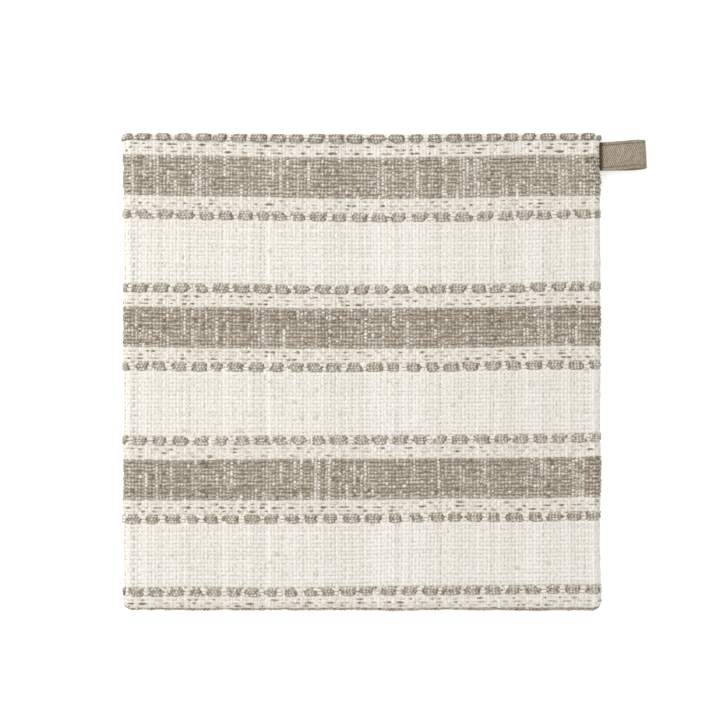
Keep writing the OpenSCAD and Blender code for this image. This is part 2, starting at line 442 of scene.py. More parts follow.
def make_yarn_fibre():
    """Tone runs from the yarn's darkest to its lightest colour, and Relief is a height for a bump."""
    numbers = ("Twist length", "Twist", "Streaks", "Yarn to yarn")
    inputs = {name: "Float" for name in numbers}
    outputs = {"Tone": "Float", "Relief": "Float"}
    tree, given = new_group("yarn_fibre", "ShaderNodeTree", inputs, outputs)
    run = place(tree, "ShaderNodeAttribute", attribute_name="yarn_run").outputs["Vector"]
    along, ring_x, ring_y = parts(tree, run)
    yarn = place(tree, "ShaderNodeAttribute", attribute_name="yarn").outputs["Fac"]

    turn = calc(tree, "MULTIPLY", calc(tree, "DIVIDE", along, given["Twist length"]), 2 * math.pi)
    twist = calc(
        tree,
        "ADD",
        calc(tree, "MULTIPLY", calc(tree, "SINE", turn), ring_x),
        calc(tree, "MULTIPLY", calc(tree, "COSINE", turn), ring_y),
    )
    own_streaks = calc(tree, "MULTIPLY", yarn, STREAK_SEED_STEP)
    streak_place = vector(
        tree,
        calc(tree, "MULTIPLY", along, STREAK_SCALE),
        calc(tree, "MULTIPLY", ring_x, STREAKS_ROUND),
        calc(tree, "MULTIPLY_ADD", ring_y, STREAKS_ROUND, own_streaks),
    )
    streaks = calc(tree, "SUBTRACT", noise(tree, streak_place, 1.0, 2.0)[0], 0.5)
    where = tree.nodes.new("ShaderNodeTexCoord").outputs["Object"]
    fibre = calc(tree, "SUBTRACT", noise(tree, where, FIBRE_SCALE, 1.0)[0], 0.5)
    lot = place(tree, "ShaderNodeTexWhiteNoise", {"W": yarn}, noise_dimensions="1D")
    bobbin = calc(tree, "SUBTRACT", lot.outputs["Value"], 0.5)

    shade = place(tree, "ShaderNodeAttribute", attribute_name="shade").outputs["Fac"]
    tone = calc(tree, "ADD", shade, 0.5)
    # the twist term is painted shade in the grooves; streaks, bobbin and fibres are the yarn's own colour
    for part, strength in ((twist, "Twist"), (streaks, "Streaks"), (bobbin, "Yarn to yarn")):
        tone = calc(tree, "ADD", tone, calc(tree, "MULTIPLY", part, given[strength]))
    tone = calc(tree, "ADD", tone, calc(tree, "MULTIPLY", fibre, FIBRE_TONE))
    tone = place(tree, "ShaderNodeClamp", {"Value": tone}).outputs[0]
    relief = calc(tree, "ADD", calc(tree, "MULTIPLY", twist, TWIST_RELIEF), fibre)
    place(tree, "NodeGroupOutput", {"Tone": tone, "Relief": relief})
    return tree


YARN_FIBRE = make_yarn_fibre()
print("group yarn_fibre with", len(YARN_FIBRE.nodes), "nodes")

# %% Helpers for cloth materials


def srgb(red, green, blue):
    """A colour as given, 0 to 255, in the linear values that shaders use."""
    return tuple(((c / 255 + 0.055) / 1.055) ** 2.4 for c in (red, green, blue)) + (1.0,)


def cloth_material(name, sheen=0.12):
    """A rough, slightly fuzzy material, with its tree and its main shader."""
    material = bpy.data.materials.new(name)
    material.use_nodes = True
    shader = material.node_tree.nodes["Principled BSDF"]
    uniform = {"Roughness": 0.93, "Specular IOR Level": 0.2, "Sheen Roughness": 0.6}
    uniform["Sheen Weight"] = sheen
    for socket, value in uniform.items():
        shader.inputs[socket].default_value = value
    return material, material.node_tree, shader


def tone_colour(tree, tone, *colours):
    """Runs through the colours as the tone goes from 0 to 1."""
    ramp = place(tree, "ShaderNodeValToRGB", {"Fac": tone})
    stops = ramp.color_ramp.elements
    while len(stops) < len(colours):
        stops.new(0.5)
    for number, colour in enumerate(colours):
        stops[number].position = number / (len(colours) - 1)
        stops[number].color = srgb(*colour)
    return ramp.outputs[0]


def add_bump(tree, shader, height, distance, strength=0.6):
    """Small relief on the shader's normal."""
    feeds = {"Height": height, "Distance": distance, "Strength": strength}
    bump = place(tree, "ShaderNodeBump", feeds)
    tree.links.new(bump.outputs[0], shader.inputs["Normal"])


print("helpers for cloth materials are ready")

# %% Materials of the yarns


def yarn_material(name, colours, twist_length, twist, streaks, yarn_to_yarn):
    """Spun yarn that runs through the given colours, darkest first."""
    material, tree, shader = cloth_material(name)
    feeds = dict(enumerate((twist_length, twist, streaks, yarn_to_yarn)))
    fibre = place(tree, "ShaderNodeGroup", feeds, node_tree=YARN_FIBRE)
    colour = tone_colour(tree, fibre.outputs["Tone"], *colours)
    tree.links.new(colour, shader.inputs["Base Color"])
    add_bump(tree, shader, fibre.outputs["Relief"], 0.12 * MM)
    return material


CREAM = ((210, 203, 190), (229, 225, 217), (240, 238, 233))
TAUPE = ((126, 113, 94), (182, 172, 157), (230, 225, 216))
THIN = ((132, 119, 98), (204, 195, 178), (226, 219, 206))
CREAM_WARP = yarn_material("cream warp", CREAM, 1.5 * MM, 0.12, 0.9, 0.6)
CREAM_PICK = yarn_material("cream pick", CREAM, 1.7 * MM, 0.12, 0.9, 0.3)
TAUPE_PICK = yarn_material("taupe pick", TAUPE, 1.3 * MM, 0.1, 1.4, 0.2)
DASH_YARN = yarn_material("dash yarn", TAUPE, 2.7 * MM, 0.08, 1.7, 0.2)
THIN_PICK = yarn_material("thin pick", THIN, 1.0 * MM, 0.2, 1.2, 0.5)
print("yarn materials made")

# %% [markdown]
# ## The weaving draft
# Across the cloth run the picks, and up the cloth run the warps. The stripes come from the picks
# alone: fine taupe ones beaten tightly together in the stripes, cream ones elsewhere, and two
# places in each row of dashes that the thick floating yarn takes up. Listing the zones of one
# repeat and spreading picks evenly through each is how a weaver would write it down.

# %% The picks, from the bottom seam to the top seam


def spread(low, high, count):
    """Places spread evenly between two edges, half a step in from each."""
    step = (high - low) / count
    return [low + (i + 0.5) * step for i in range(count)]


STRIPE_PICKS = 11
DASH_LOW = ROW_OFFSET - ROW_HALF
DASH_HIGH = ROW_OFFSET + ROW_HALF
ZONES = [
    (-STRIPE_HALF, STRIPE_HALF, STRIPE_PICKS, "taupe"),
    (STRIPE_HALF, DASH_LOW, 4, "pale"),
    (DASH_LOW, DASH_HIGH, 2, "dashes"),
    (DASH_HIGH, REPEAT - DASH_HIGH, 16, "cream"),
    (REPEAT - DASH_HIGH, REPEAT - DASH_LOW, 2, "dashes"),
    (REPEAT - DASH_LOW, REPEAT - STRIPE_HALF, 4, "pale"),
]
STRIPE_MIDDLES = [STRIPE_Y + step * REPEAT for step in (-2, -1, 0, 1)]
SEAM_MARGIN = 0.5 * MM


def all_picks():
    """Every pick's height on the flat cloth and its zone, from the bottom up."""
    picks = []
    for middle in STRIPE_MIDDLES:
        for low, high, count, zone in ZONES:
            picks += [(middle + y, zone) for y in spread(low, high, count)]
    return [(y, zone) for y, zone in sorted(picks) if abs(y) < CLOTH_HALF - SEAM_MARGIN]


PICKS = all_picks()
WARPS = spread(-CLOTH_HALF, CLOTH_HALF, round(2 * CLOTH_HALF / WARP_PITCH))
print(len(PICKS), "picks and", len(WARPS), "warps on each face")

# %% [markdown]
# ## Room for the tape
# The hanging loop leaves the pad through its seam, and the cloth can't be where the tape is. So
# near the tape the flat coordinates are squeezed a little away from the seam, which lifts the edge
# of the cloth over the tape, as it would ride up over the real one.

# %% Squeeze the cloth away from the tape
TAPE_ROOM = 1.9 * MM


def smooth_step(low, high, value):
    """0 below low, 1 above high, and a soft rise between."""
    share = np.clip((value - low) / (high - low), 0.0, 1.0)
    return share * share * (3 - 2 * share)


def make_room(x, y):
    """Flat x moved in from the right-hand seam where the tape comes out."""
    near_tape = 1 - smooth_step(TAPE_W / 2, TAPE_W / 2 + 4 * MM, np.abs(y - LOOP_Y))
    near_seam = smooth_step(RIM_STARTS, CLOTH_HALF, x)
    return x - TAPE_ROOM * near_tape * near_seam


print(f"the cloth moves in by up to {TAPE_ROOM / MM:.1f} mm at the tape")

# %% [markdown]
# ## How high the wadding lifts the cloth
# Soft wadding lifts the cloth in low mounds. The yarns have to follow them, so the height is kept
# as one table of numbers over the flat cloth, and any place on it is blended between its four
# neighbours. The table starts at nought. A cloth simulation fills it in before anything is woven.

# %% Height at any place on the flat cloth
FRONT, BACK = 1.0, -1.0
FACE = {FRONT: "front", BACK: "back"}
WADDING_LINES = np.linspace(-CLOTH_HALF, CLOTH_HALF, 2 * round(CLOTH_HALF / (4 * MM)) + 1)
SWELLING = np.zeros((len(WADDING_LINES), len(WADDING_LINES)))


def swelling(side, x, y):
    """The height at flat places, blended between the nearest points of the wadding's grid."""
    if side == BACK:
        return np.zeros_like(x)
    step = WADDING_LINES[1] - WADDING_LINES[0]
    across = np.clip((x + CLOTH_HALF) / step, 0, len(WADDING_LINES) - 1.001)
    up = np.clip((y + CLOTH_HALF) / step, 0, len(WADDING_LINES) - 1.001)
    i, j = across.astype(int), up.astype(int)
    p, q = across - i, up - j
    low = SWELLING[j, i] * (1 - p) + SWELLING[j, i + 1] * p
    high = SWELLING[j + 1, i] * (1 - p) + SWELLING[j + 1, i + 1] * p
    return low * (1 - q) + high * q


print(len(WADDING_LINES), "grid lines each way in the wadding")

# %% [markdown]
# ## Writing a yarn down
# A yarn is a row of points, and each point says how high the yarn lies there, how thick it is and
# how light. A mesh can hold all of that without a single face: its edges join the points in
# order, and attributes carry the numbers. The tree that spins the yarns reads them by name.

# %% Chains of points as a draft
TUCK = -1.1 * MM


def store_on_points(mesh, columns):
    """Stores one number or one vector on every point of a mesh, under each name."""
    for name, values in columns.items():
        kind, field = ("FLOAT", "value") if values.ndim == 1 else ("FLOAT_VECTOR", "vector")
        layer = mesh.attributes.new(name, kind, "POINT")
        layer.data.foreach_set(field, values.astype(np.float32).ravel())


def draft(name, chains, first_yarn, side):
    """An object of loose chains. A chain is a list of (x, y, rise, level, girth, shade)."""
    lengths = [len(chain) for chain in chains]
    points = np.concatenate([np.array(chain, float) for chain in chains])
    starts = np.cumsum([0] + lengths[:-1])
    edges = [(i, i + 1) for start, n in zip(starts, lengths) for i in range(start, start + n - 1)]
    x = make_room(points[:, 0], points[:, 1])
    places = np.column_stack([x, points[:, 1], np.zeros(len(points))])
    mesh = bpy.data.meshes.new(name)
    mesh.from_pydata(places.tolist(), edges, [])
    columns = {
        "rise": points[:, 2],
        "level": points[:, 3] + swelling(side, points[:, 0], points[:, 1]),
        "girth": points[:, 4],
        "shade": points[:, 5],
        "yarn": np.repeat(np.arange(len(lengths)) + first_yarn, lengths),
    }
    store_on_points(mesh, columns)
    return new_object(name, mesh)


def tucked(chain, axis):
    """A chain with its two ends turned in at the seam."""
    first, last = list(chain[0]), list(chain[-1])
    first[axis], last[axis] = -CLOTH_HALF, CLOTH_HALF
    for end in (first, last):
        end[2:5] = 0.0, TUCK, 0.8
    return [tuple(first)] + chain + [tuple(last)]


print(f"yarn ends are turned in by {-TUCK / MM:.1f} mm")

# %% [markdown]
# ## Warps and picks
# In plain weave each warp goes over every other pick, and its neighbour goes over the ones
# between. In the stripes the taupe picks are packed so tightly that they swell over the warps and
# hide them. A few warps there are slack, and come up as dotted cream lines. Their runs start and
# stop by chance, so the stripes look spun and woven, not printed.

# %% Heights of one crossing
STRIPE_STEP = 2 * STRIPE_HALF / STRIPE_PICKS
WARP_SINK = {"cream": 0.0, "pale": 0.0, "dashes": -0.25 * MM}
STRIPE_WARPS = {"hidden": -0.45 * MM, "faint": -0.14 * MM, "slack": 0.04 * MM}
WARP_CHANCES = (0.68, 0.2, 0.12)
CHANGE_CHANCE = 0.1
STRIPE_SHADES = (-0.04, -0.04, -0.04, 0.04)
warp_rng = np.random.default_rng(5)
WARP_LIFT = warp_rng.normal(0.0, 0.05, len(WARPS)) * MM
WARP_SHADE = warp_rng.normal(0.0, 0.1, len(WARPS))
PALE_SHADE = -0.2
CREAM_FLECK, CREAM_FLECK_CHANCE = -1.5, 0.009
TAUPE_FLECKS, TAUPE_FLECK_CHANCES = (0.0, -0.6, 0.6), (0.94, 0.03, 0.03)
print(f"picks lie {STRIPE_STEP / MM:.2f} mm apart in the stripes")


def over(warp, pick):
    """1 where this warp passes over this pick, and -1 where it passes under."""
    return 1.0 if (warp + pick) % 2 == 0 else -1.0


# %% Chains of the warps and the picks


def warp_chain(i, x, rng):
    """One warp, from the bottom seam to the top seam."""
    x_now = x + rng.normal(0.0, 0.1) * MM
    kinds = list(STRIPE_WARPS)
    kind = "hidden"
    chain = []
    for j, (y, zone) in enumerate(PICKS):
        if rng.random() < CHANGE_CHANCE or zone != "taupe":
            kind = kinds[rng.choice(3, p=WARP_CHANCES)]
        if abs(x) > FLAT + 1 * MM:
            kind = "hidden"
        lift = WARP_LIFT[i] + rng.normal(0.0, 0.03) * MM
        if zone != "taupe":
            rise = -1.0 if zone == "dashes" else over(i, j)
            chain.append((x_now, y, rise, WARP_SINK[zone] + lift, 1.0, 0.0))
        elif kind == "hidden":
            chain.append((x_now, y, -0.2, STRIPE_WARPS[kind], 0.8, 0.0))
        else:
            level = STRIPE_WARPS[kind] + lift + rng.normal(0.0, 0.08) * MM
            chain.append((x_now, y - 0.5 * STRIPE_STEP, 0.6, level, 0.8, 0.0))
            chain.append((x_now, y, -0.8, level, 0.7, 0.0))
    return tucked(chain, 1)


def pick_chain(j, y, zone, rng):
    """One cream pick, from the left seam to the right seam."""
    zone_shade = PALE_SHADE if zone == "pale" else 0.0
    chain = []
    for i, x in enumerate(WARPS):
        level = WARP_LIFT[i] + rng.normal(0.0, 0.03) * MM
        fleck = CREAM_FLECK if rng.random() < CREAM_FLECK_CHANCE else 0.0
        chain.append((x, y, -over(i, j), level, 1.0, zone_shade + fleck + WARP_SHADE[i]))
    return tucked(chain, 0)


def taupe_chain(y, rng):
    """One taupe pick, a bead over each warp and a notch before the next, with painted light on the beads and
    painted shade in the notches.
    """
    stripe = int(np.argmin([abs(y - middle) for middle in STRIPE_MIDDLES]))
    chain = []
    for i, x in enumerate(WARPS):
        shade = STRIPE_SHADES[stripe] + 0.5 * WARP_SHADE[i]
        level = 1.5 * WARP_LIFT[i] + rng.normal(0.0, 0.06) * MM
        y_now = y + rng.normal(0.0, 0.14) * MM
        fleck = rng.choice(TAUPE_FLECKS, p=TAUPE_FLECK_CHANCES)
        # painted light: the raised bead over the warp is a little lighter
        bead = shade + 0.06 + fleck + rng.normal(0.0, 0.12)
        chain.append((x, y_now, 0.9, level, rng.normal(1.08, 0.15), bead))
        notch = rng.normal(0.5, 0.1) * WARP_PITCH
        # painted shade: the low notch between the warps is darker
        chain.append((x + notch, y, -0.4, 0.0, rng.normal(0.86, 0.08), shade - 0.12))
    return tucked(chain, 0)


# %% [markdown]
# ## The rows of dashes
# Here three thick yarns side by side float on the face for a short way and then dive to the back,
# where two cream yarns come up in their place. The dashes aren't quite equal, and the three yarns
# don't start and stop together, which gives each dash its ragged ends.

# %% Floating yarns and the cream yarns between them
DASH_PLACES = (-1.07 * MM, 0.0, 1.07 * MM)
TIE_PLACES = (-0.72 * MM, 0.72 * MM)
DASH_LENGTH, DASH_GAP = 5.9, 2.45
POINT_STEP = WARP_PITCH / 2
STEPS = round(2 * (CLOTH_HALF - SEAM_MARGIN) / POINT_STEP)


def dashes(rng):
    """Start and end of each dash along one row."""
    x = -CLOTH_HALF - rng.uniform(0.0, 7.0) * MM
    found = []
    while x < CLOTH_HALF:
        length = rng.normal(DASH_LENGTH, 0.5) * MM
        found.append((x, x + length))
        x += length + rng.normal(DASH_GAP, 0.3) * MM
    return found


def floating_chain(y, offset, spans, up, down, swell, ragged, rng):
    """A yarn that is up within the spans and down between them, fullest in their middles, with painted shade
    towards the ends where it dives and where it is down.
    """
    spans = [(a + rng.normal(0.0, ragged) * MM, b + rng.normal(0.0, ragged) * MM) for a, b in spans]
    chain = []
    for step in range(STEPS + 1):
        x = -CLOTH_HALF + SEAM_MARGIN + step * POINT_STEP
        shares = [(x - a) / (b - a) for a, b in spans if a < x < b]
        if shares:
            arch = math.sin(math.pi * shares[0])
            aside = offset * (0.8 + 0.2 * arch)
            girth = 1 + swell * (arch - 0.6)
            # painted shade: darker towards each end of a span, where the yarn dives, lighter in its middle
            chain.append((x, y + aside, 1.0, up, girth, 0.5 * arch - 0.4))
        else:
            # painted shade where the yarn lies down under the others
            chain.append((x, y + offset * 0.8, -1.0, down, 0.72, -0.3))
    return tucked(chain, 0)


def gaps_between(spans):
    """The spaces between neighbouring dashes."""
    return [(a_end, b_start) for (_, a_end), (b_start, _) in zip(spans, spans[1:])]


DASH_ROWS = [
    middle + side * ROW_OFFSET
    for middle in STRIPE_MIDDLES
    for side in (-1, 1)
    if abs(middle + side * ROW_OFFSET) < CLOTH_HALF - ROW_HALF
]
print(len(DASH_ROWS), "rows of dashes")

# %% [markdown]
# ## Thin taupe lines in the pale bands
# Beside each stripe, very thin taupe yarns lie between the cream picks. They slip over a few warps
# and under the next few, and show as faint short lines. Where such a yarn is spun too thick, a
# dark speck shows. A dotted texture would be quicker, but its dots would ignore the weave.

# %% Thin yarns
PALE_STEP = (DASH_LOW - STRIPE_HALF) / 4
THIN_ROWS = [
    middle + side * (STRIPE_HALF + PALE_STEP * line)
    for middle in STRIPE_MIDDLES
    for side in (-1, 1)
    for line in (1, 2, 3)
]
THIN_ROWS = [y for y in THIN_ROWS if abs(y) < CLOTH_HALF - SEAM_MARGIN]
KNOT_CHANCE, KNOT_GIRTH, KNOT_SHADE = 0.22, 1.45, -0.55
print(len(THIN_ROWS), "thin yarns on each face")


def thin_chain(y, rng):
    """A thin yarn that surfaces for a few warps at a time, with a thick dark spot here and there."""
    chain = []
    up, left = True, 1
    for x in WARPS:
        if left == 0:
            up = not up
            left = int(rng.integers(1, 4)) if up else int(rng.integers(1, 3))
        left -= 1
        rise, level, girth = (1.0, 0.05 * MM, 1.0) if up else (-1.0, -0.15 * MM, 0.7)
        knot = up and rng.random() < KNOT_CHANCE
        chain.append((x, y, rise, level, KNOT_GIRTH if knot else girth, KNOT_SHADE if knot else 0.0))
    return tucked(chain, 0)


# %% [markdown]
# ## The ground cloth and the wadding
# Between the crowns of the yarns the eye looks down to where they cross and to the fluff below,
# never through to the wadding. A thin skin just under the yarns closes those gaps. Its colour is
# painted light and shade: lighter than the cream yarns outside the stripes, darker than the taupe
# yarns inside them. It carries the stripes as a value on its points, because its colour has to
# change exactly where the picks do.
# The wadding fills each half of the pad below it, from the same flat grid laid on the same rule.

# %% Node tree: lay a flat slab on the pad


def make_lay_slab():
    """Lays a flat slab on the pad. If Filled is 1, its underside lies on the middle plane."""
    inputs = {"Geometry": "Geometry", "Side": "Float", "Depth": "Float", "Filled": "Float"}
    inputs["Material"] = "Material"
    tree, given = new_group("lay_slab", "GeometryNodeTree", inputs, {"Geometry": "Geometry"})
    here = tree.nodes.new("GeometryNodeInputPosition").outputs[0]
    flat = calc_vector(tree, "ADD", here, vector(tree, z=given["Depth"]))
    position, _ = lay_on_pad(tree, flat, given["Side"])
    x, y, _ = parts(tree, position)
    floor_z = calc(tree, "MULTIPLY_ADD", given["Side"], 0.1 * MM, MID_Z)
    share = calc(tree, "MULTIPLY", named(tree, "underside"), given["Filled"])
    feeds = {"Factor": share, 4: position, 5: vector(tree, x, y, floor_z)}
    position = place(tree, "ShaderNodeMix", feeds, data_type="VECTOR").outputs[1]
    feeds = {"Geometry": given["Geometry"], "Position": position}
    slab = place(tree, "GeometryNodeSetPosition", feeds).outputs[0]
    finish_tree(tree, slab, given["Material"])
    return tree


LAY_SLAB = make_lay_slab()
print("tree lay_slab with", len(LAY_SLAB.nodes), "nodes")

# %% Materials of the ground cloth and the wadding


def ground_cloth_painted_light_and_shade():
    """Cream or taupe fluff by the stripe value on each point, painted lighter than the cream yarns and
    darker than the taupe yarns.
    """
    material, tree, shader = cloth_material("ground cloth")
    stripe = place(tree, "ShaderNodeAttribute", attribute_name="stripe").outputs["Fac"]
    where = tree.nodes.new("ShaderNodeTexCoord").outputs["Object"]
    fluff = noise(tree, where, 1500.0, 3.0)[0]
    # painted light: lighter than the cream yarns, so that the gaps between them stay bright
    cream = tone_colour(tree, fluff, (234, 228, 215), (247, 243, 235))
    # painted shade: darker than the taupe yarns, so that the gaps between them look deep
    taupe = tone_colour(tree, fluff, (112, 98, 79), (160, 147, 128))
    blend = place(tree, "ShaderNodeMix", {"Factor": stripe, 6: cream, 7: taupe}, data_type="RGBA")
    tree.links.new(blend.outputs[2], shader.inputs["Base Color"])
    add_bump(tree, shader, fluff, 0.1 * MM)
    return material


def wadding_material():
    """Soft white fibres that lie every way."""
    material, tree, shader = cloth_material("wadding", sheen=0.4)
    where = tree.nodes.new("ShaderNodeTexCoord").outputs["Object"]
    fibres = noise(tree, where, 900.0, 6.0)[0]
    colour = tone_colour(tree, fibres, (226, 224, 218), (250, 250, 248))
    tree.links.new(colour, shader.inputs["Base Color"])
    add_bump(tree, shader, fibres, 0.5 * MM)
    return material


GROUND_CLOTH_PAINTED_LIGHT_AND_SHADE = ground_cloth_painted_light_and_shade()
WADDING = wadding_material()
print("ground cloth and wadding materials made")

# %% A closed slab between two grids of points


def slab_mesh(name, top, under, rows, columns):
    """A closed slab from two grids of points, its upper faces, its lower ones and its rim."""
    size = rows * columns
    corner = (np.arange(rows - 1)[:, None] * columns + np.arange(columns - 1)).ravel()
    upper = np.column_stack([corner, corner + 1, corner + columns + 1, corner + columns])
    rim = np.concatenate(
        [
            np.arange(columns - 1),
            np.arange(rows - 1) * columns + columns - 1,
            size - 1 - np.arange(columns - 1),
            (rows - 1 - np.arange(rows - 1)) * columns,
        ]
    )
    ahead = np.roll(rim, -1)
    sides = np.column_stack([ahead, rim, rim + size, ahead + size])
    faces = np.concatenate([upper, upper[:, ::-1] + size, sides])
    mesh = bpy.data.meshes.new(name)
    mesh.from_pydata(np.concatenate([top, under]).tolist(), [], faces.tolist())
    return mesh


# %% Grid lines and slabs of the flat cloth


def flat_slab(name, side, xs, ys, thickness):
    """A slab of points on the given grid lines, its top as high as the wadding swells."""
    x, y = np.meshgrid(xs, ys)
    top = np.column_stack([make_room(x, y).ravel(), y.ravel(), swelling(side, x, y).ravel()])
    mesh = slab_mesh(name, top, top - (0.0, 0.0, thickness), len(ys), len(xs))
    stripe = np.tile(stripe_share(y).ravel(), 2)
    store_on_points(mesh, {"underside": np.repeat([0.0, 1.0], x.size), "stripe": stripe})
    return new_object(name, mesh)


def stripe_share(y):
    """1 in the taupe stripes and 0 elsewhere, with a short blend."""
    distance = np.min([np.abs(y - middle) for middle in STRIPE_MIDDLES], axis=0)
    return np.clip((STRIPE_HALF - distance) / (0.5 * MM) + 0.5, 0.0, 1.0)


def grid_lines(step, extra=()):
    """Grid lines from seam to seam, about one step apart, and any extra ones."""
    even = np.linspace(-CLOTH_HALF, CLOTH_HALF, 2 * round(CLOTH_HALF / step) + 1)
    return np.unique(np.concatenate([even, [e for e in extra if abs(e) < CLOTH_HALF - 0.1 * MM]]))


# %% Skins and wadding
GRID_STEP = 3 * MM
GROUND_DEPTH = -0.68 * MM
WADDING_DEPTH = -1.5 * MM
STRIPE_EDGES = [
    middle + side * (STRIPE_HALF + blend * 0.25 * MM)
    for middle in STRIPE_MIDDLES
    for side in (-1, 1)
    for blend in (-1, 1)
]
print(f"ground cloth {-GROUND_DEPTH / MM:.2f} mm deep, wadding {-WADDING_DEPTH / MM:.2f} mm deep")


def skin(side):
    """The ground cloth of one face."""
    xs, ys = grid_lines(GRID_STEP), grid_lines(GRID_STEP, STRIPE_EDGES)
    slab = flat_slab(FACE[side] + "_ground_cloth", side, xs, ys, 0.35 * MM)
    values = {"Side": side, "Depth": GROUND_DEPTH, "Filled": 0.0, "Material": GROUND_CLOTH_PAINTED_LIGHT_AND_SHADE}
    return upright(run_tree(slab, LAY_SLAB, values, kept=("stripe",)), side)


def wadding(side):
    """The wadding of one half of the pad."""
    slab = flat_slab(FACE[side] + "_wadding_fill", side, WADDING_LINES, WADDING_LINES, 0.1 * MM)
    values = {"Side": side, "Depth": WADDING_DEPTH, "Filled": 1.0, "Material": WADDING}
    return upright(run_tree(slab, LAY_SLAB, values, kept=()), side)


def upright(piece, side):
    """Turns the faces of a back piece round, as it is laid upside down."""
    if side == BACK:
        piece.data.flip_normals()
    return piece


# %% [markdown]
# ## Swelling the wadding
# Wadding pushes the cloth out between its seams, a little more here and less there. That shape is
# hard to draw and easy to simulate. The front half of the wadding is held along its seam and its
# underside and blown up from inside like a cushion, harder where it is packed more tightly. How far
# each point moved is kept as a height on the flat cloth, and every layer is raised by it. The back
# lies on the table, so it stays flat.

# %% How tightly the wadding is packed
LUMPS = 8


def packing(rng):
    """How tightly the wadding is packed, 0.3 to 1, as soft lumps on its grid."""
    coarse = rng.uniform(0.3, 1.0, (LUMPS, LUMPS))
    at = np.linspace(0, LUMPS - 1, len(WADDING_LINES))
    rows = np.array([np.interp(at, range(LUMPS), line) for line in coarse])
    return np.array([np.interp(at, range(LUMPS), line) for line in rows.T]).T


PACKING = packing(np.random.default_rng(3))
print(f"the wadding's packing runs from {PACKING.min():.2f} to {PACKING.max():.2f}")

# %% Cloth simulation of the front half
SWELL_FRAMES = 20
SWELL_PRESSURE = 4.0
SWELL_MOST = 1.1 * MM


def swell(piece):
    """Blows up one half of the wadding, and returns how far each of its points moved outwards."""
    count = len(WADDING_LINES) ** 2
    start, normals = np.empty(6 * count), np.empty(6 * count)
    piece.data.vertices.foreach_get("co", start)
    piece.data.vertices.foreach_get("normal", normals)
    grid = np.arange(count).reshape(len(WADDING_LINES), -1)
    free = set(grid[1:-1, 1:-1].ravel().tolist())
    seam = piece.vertex_groups.new(name="seam")
    seam.add([i for i in range(2 * count) if i not in free], 1.0, "REPLACE")
    packed = piece.vertex_groups.new(name="packing")
    for number, share in enumerate(PACKING.ravel()):
        packed.add([number], float(share), "REPLACE")
    cloth = piece.modifiers.new("swell", "CLOTH")
    cloth.settings.vertex_group_mass = "seam"
    cloth.settings.use_pressure = True
    cloth.settings.uniform_pressure_force = SWELL_PRESSURE
    cloth.settings.vertex_group_pressure = "packing"
    cloth.settings.effector_weights.gravity = 0.0
    cloth.collision_settings.use_collision = False
    cloth.point_cache.frame_end = SWELL_FRAMES
    for number in range(1, SWELL_FRAMES + 1):
        bpy.context.scene.frame_set(number)
    swollen = piece.evaluated_get(bpy.context.evaluated_depsgraph_get())
    end = np.empty(6 * count)
    swollen.data.vertices.foreach_get("co", end)
    bpy.context.scene.frame_set(1)
    moved = ((end - start) * normals).reshape(-1, 3).sum(axis=1)[:count]
    return np.maximum(moved, 0.0).reshape(grid.shape)


trial = wadding(FRONT)
swollen_by = swell(trial)
print(f"the simulated wadding moved by up to {swollen_by.max() / MM:.1f} mm")
SWELLING[:] = SWELL_MOST * np.minimum(swollen_by / np.quantile(swollen_by, 0.98), 1.0)
bpy.data.objects.remove(trial)
print(f"the front is raised by {SWELLING.mean() / MM:.2f} mm on average")

# %% Both skins and both halves of the wadding
skins = {side: skin(side) for side in (FRONT, BACK)}
fills = {side: wadding(side) for side in (FRONT, BACK)}
print([len(piece.data.polygons) for piece in (*skins.values(), *fills.values())], "faces")

# %% [markdown]
# ## Weaving both faces
# The front is woven in finer steps than the back, which lies on the table. A set of yarns that
# would be too heavy for one mesh is split into panels side by side. The tree's inputs give each
# kind of yarn its width, height, wave and twist, so one tree spins them all.

# %% Kinds of yarn, in millimetres and shares of the girth
CLOTH_DEPTH = -0.78 * MM
KIND_SOCKETS = ("Half width", "Half height", "Wave", "Wander", "Slub", "Knob", "Knob length")
YARN_KINDS = {
    "warps": (1.02, 0.42, 0.12, 0.5, 0.6, 0.0, 1.0),
    "cream_picks": (1.08, 0.44, 0.12, 0.5, 0.6, 0.0, 1.0),
    "taupe_picks": (0.82, 0.5, 0.2, 0.8, 0.8, 0.0, 1.0),
    "dash_yarns": (0.66, 0.56, 0.35, 0.35, 0.4, 0.2, 1.35),
    "tie_yarns": (0.72, 0.45, 0.35, 0.3, 0.5, 0.0, 1.0),
    "thin_picks": (0.38, 0.28, 0.28, 0.7, 0.8, 0.0, 1.0),
}
SHARES = ("Slub", "Knob")


def spin(side, kind, chains, material, cuts=1, panels=1):
    """One set of yarns, as one piece or as several panels side by side."""
    values = dict(zip(KIND_SOCKETS, YARN_KINDS[kind]))
    values = {socket: value if socket in SHARES else value * MM for socket, value in values.items()}
    values.update({"Side": side, "Depth": CLOTH_DEPTH, "Corners": 4, "Cuts": cuts})
    values["Material"] = material
    size = math.ceil(len(chains) / panels)
    pieces = []
    for first in range(0, len(chains), size):
        name = f"{FACE[side]}_{kind}" + (f"_{len(pieces) + 1}" if panels > 1 else "")
        panel = draft(name, chains[first : first + size], first, side)
        pieces.append(run_tree(panel, SPIN_YARN, values, kept=("yarn_run", "yarn", "shade")))
    triangles = [sum(len(face.vertices) - 2 for face in piece.data.polygons) for piece in pieces]
    print(f"{FACE[side]} {kind}: {len(chains)} yarns, triangles {triangles}")
    return pieces


print(len(YARN_KINDS), "kinds of yarn")

# %% Weave
SEEDS = {FRONT: 11, BACK: 23}
FINE_CUTS = {FRONT: 2, BACK: 1}
DASH_UP, TOP_DASH_UP, DASH_DOWN = 0.15 * MM, 0.9 * MM, -0.35 * MM
TIE_UP, TIE_DOWN = 0.05 * MM, -0.3 * MM


